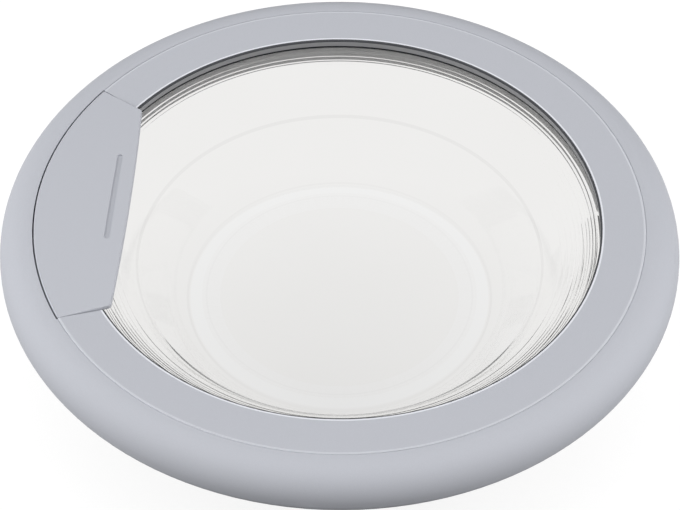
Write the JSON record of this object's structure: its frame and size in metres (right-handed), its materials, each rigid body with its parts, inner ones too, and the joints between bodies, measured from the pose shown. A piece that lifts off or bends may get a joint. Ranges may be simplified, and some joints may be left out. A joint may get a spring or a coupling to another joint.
{
  "type": "washing machine door",
  "caption": "Round front-loader door with a silver plastic ring, a clear glass bowl, a pull handle that releases a latch hook, and a pin hinge with a bolt-on plate.",
  "frame": {"origin": "middle of the bounding box, on the surface that the glass bowl rests on", "axes": "+Z out of the door's front face, -X towards the handle, +X towards the hinge, Y along the hinge axis"},
  "size_m": [0.4499, 0.45, 0.085],
  "materials": {
    "ring_silver": "satin silver paint on moulded plastic",
    "rear_grey": "moulded grey plastic",
    "bowl_glass": "clear pressed glass",
    "seal_black": "matt black",
    "plain_steel": "zinc plated",
    "hook_steel": "plated, satin",
    "screw_steel": "zinc plated",
    "hinge_alloy": "die-cast, blasted",
    "bush_plastic": "plain black"
  },
  "bodies": {
    "door": {"front_frame": "ring_silver", "rear_frame": "rear_grey", "door_glass": "bowl_glass", "glass_gasket": "seal_black", "handle_pin": "plain_steel", "handle_spring": "plain_steel", "hook_bracket": "plain_steel", "hook_pin": "plain_steel", "hook_spring": "plain_steel", "hook_bracket_screws": "screw_steel", "frame_screws": "screw_steel", "hinge_leaf": "hinge_alloy", "hinge_leaf_screws": "screw_steel", "hinge_bush_far": "bush_plastic", "hinge_bush_near": "bush_plastic"},
    "handle": {"handle": "ring_silver"},
    "hook": {"latch_hook": "hook_steel"},
    "hinge_base": {"hinge_plate": "hinge_alloy", "hinge_pin": "plain_steel", "hinge_pin_clip": "plain_steel"}
  },
  "joints": [
    {"name": "door_swing", "type": "hinge", "parent": "door", "child": "hinge_base", "pos_m": [0.212, 0, 0.054], "axis": [0, -1, 0], "range_deg": [0, 130]},
    {"name": "handle_pull", "type": "hinge", "parent": "door", "child": "handle", "pos_m": [-0.194, 0, 0.0802], "axis": [0, -1, 0], "range_deg": [0, 10], "stiffness_Nm_per_rad": 1.5, "springref_deg": -20.05, "deforming": ["handle_spring"]},
    {"name": "hook_release", "type": "hinge", "parent": "door", "child": "hook", "pos_m": [-0.1938, 0, 0.066], "axis": [0, 1, 0], "range_deg": [0, 11], "stiffness_Nm_per_rad": 0.3, "springref_deg": -17.19, "deforming": ["hook_spring"]}
  ],
  "couplings": [
    {"joint": "hook_release", "follows": "handle_pull", "ratio": 1.1}
  ]
}
